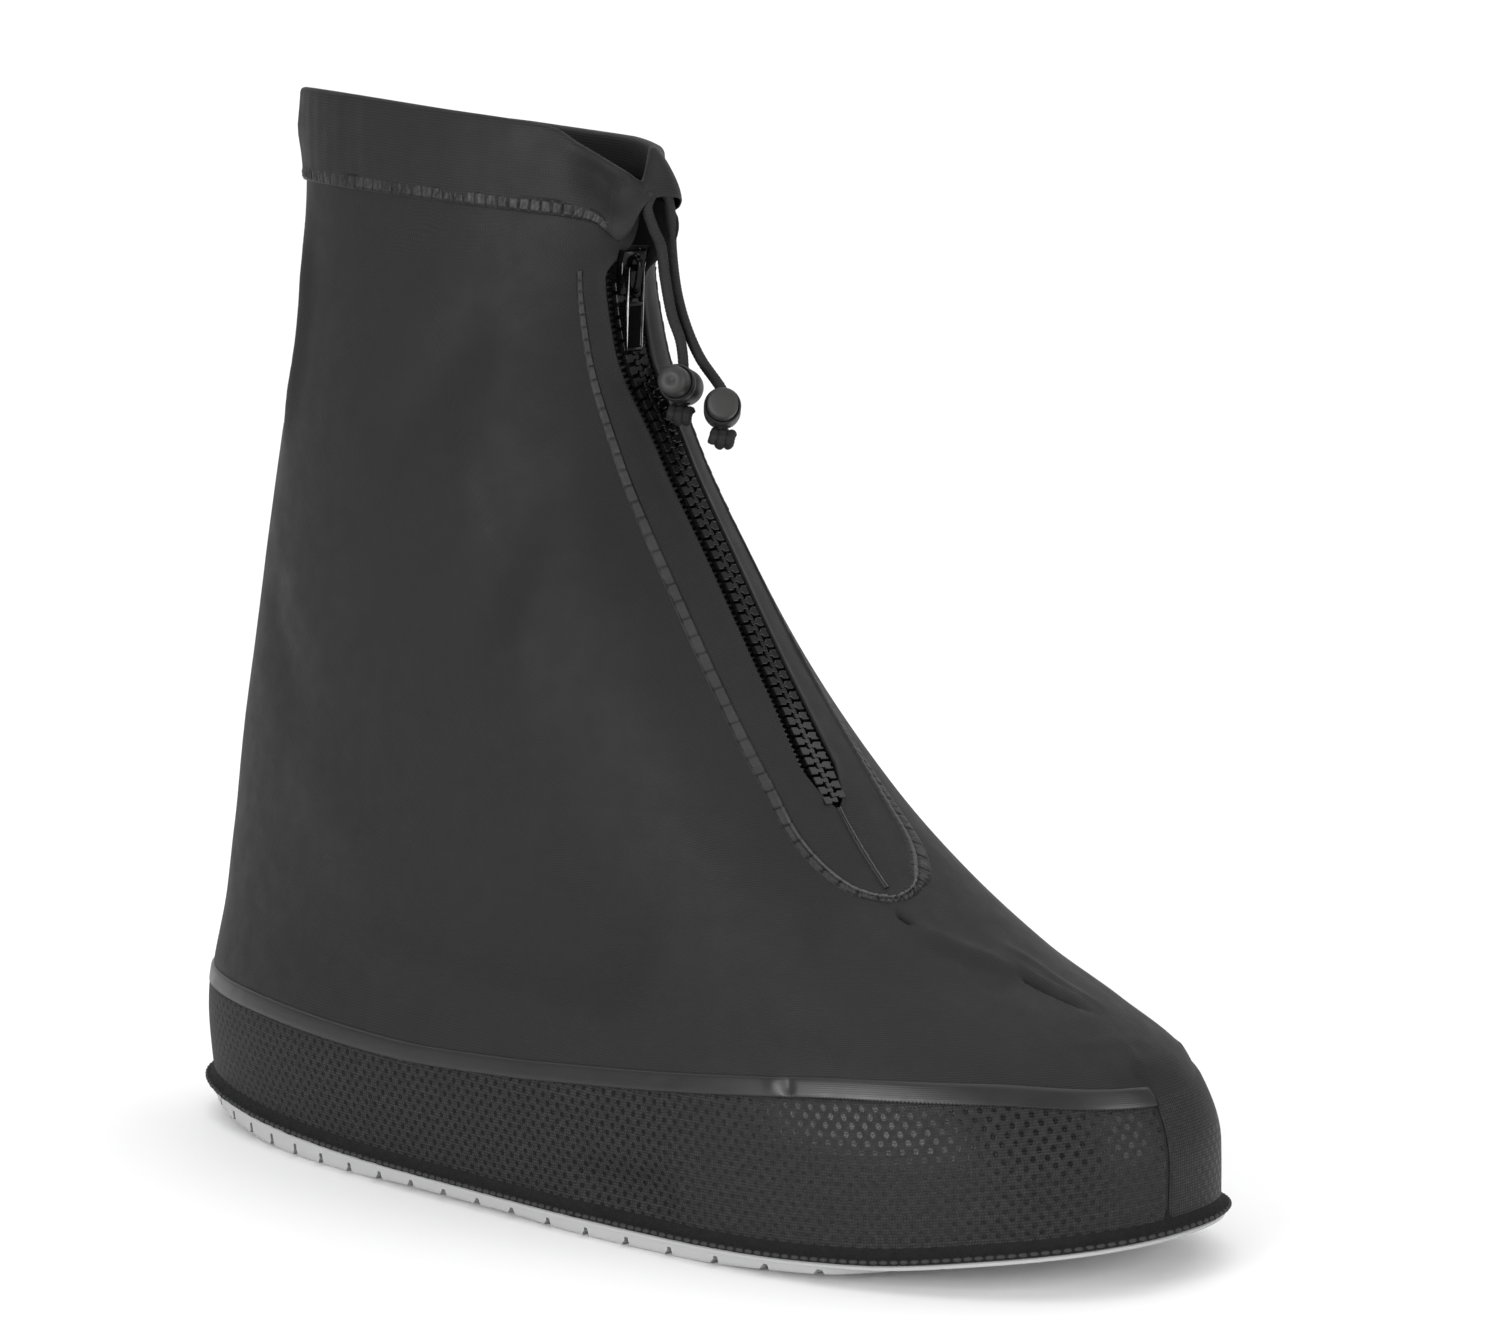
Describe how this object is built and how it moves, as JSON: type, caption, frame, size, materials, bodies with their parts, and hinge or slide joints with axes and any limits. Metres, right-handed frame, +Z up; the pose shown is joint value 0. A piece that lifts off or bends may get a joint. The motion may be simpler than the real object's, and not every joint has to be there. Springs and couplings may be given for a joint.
{
  "type": "rain overshoe",
  "caption": "Black waterproof overshoe with a front zip, drawn collar, dotted rand band and pale ribbed sole, pulled on over a shoe to keep rain out.",
  "frame": {"origin": "on the floor under the middle of the sole flange", "axes": "+X to the toe, +Y to the wearer's left (inner side of this right shoe), +Z up"},
  "size_m": [0.3021, 0.1162, 0.2637],
  "materials": {
    "outsole_pvc": "moulded pale grey PVC, satin",
    "upper_fabric": "matte coated fabric",
    "band_rubber": "dotted coated band with a smooth top strip",
    "hem_fabric": "folded coated fabric",
    "seam_film": "welded seam film, semi-gloss",
    "tape_fabric": "woven tape",
    "chain_plastic": "moulded teeth, glossy",
    "slider_metal": "black painted metal",
    "pull_metal": "black painted metal",
    "cord_elastic_a": "braided elastic cord",
    "cord_elastic_b": "braided elastic cord",
    "lock_shell_a": "satin plastic",
    "lock_shell_b": "satin plastic",
    "lock_button_a": "satin plastic",
    "lock_button_b": "satin plastic"
  },
  "bodies": {
    "overshoe": {"outsole": "outsole_pvc", "upper": "upper_fabric", "rand_band": "band_rubber", "hem_casing": "hem_fabric", "placket_seam": "seam_film", "zip_tape": "tape_fabric", "zip_chain": "chain_plastic", "zip_slider": "slider_metal", "draw_cord_a": "cord_elastic_a", "draw_cord_b": "cord_elastic_b", "cord_lock_a": "lock_shell_a", "cord_lock_b": "lock_shell_b", "cord_knot_a": "cord_elastic_a", "cord_knot_b": "cord_elastic_b"},
    "zip_pull": {"zip_pull": "pull_metal"},
    "lock_button_a": {"lock_button_a": "lock_button_a"},
    "lock_button_b": {"lock_button_b": "lock_button_b"}
  },
  "joints": [
    {"name": "pull_hinge", "type": "hinge", "parent": "overshoe", "child": "zip_pull", "pos_m": [-0.01031, -0.00467, 0.2245], "axis": [-0.2381, -0.9709, 0.0257], "range_deg": [0, 115]},
    {"name": "button_a_press", "type": "slide", "parent": "overshoe", "child": "lock_button_a", "axis": [-0.454, 0.8575, -0.2421], "range_m": [0, 0.0028], "stiffness_N_per_m": 500, "springref_m": -0.002},
    {"name": "button_b_press", "type": "slide", "parent": "overshoe", "child": "lock_button_b", "axis": [-0.6291, 0.7361, -0.25], "range_m": [0, 0.0028], "stiffness_N_per_m": 500, "springref_m": -0.002}
  ]
}
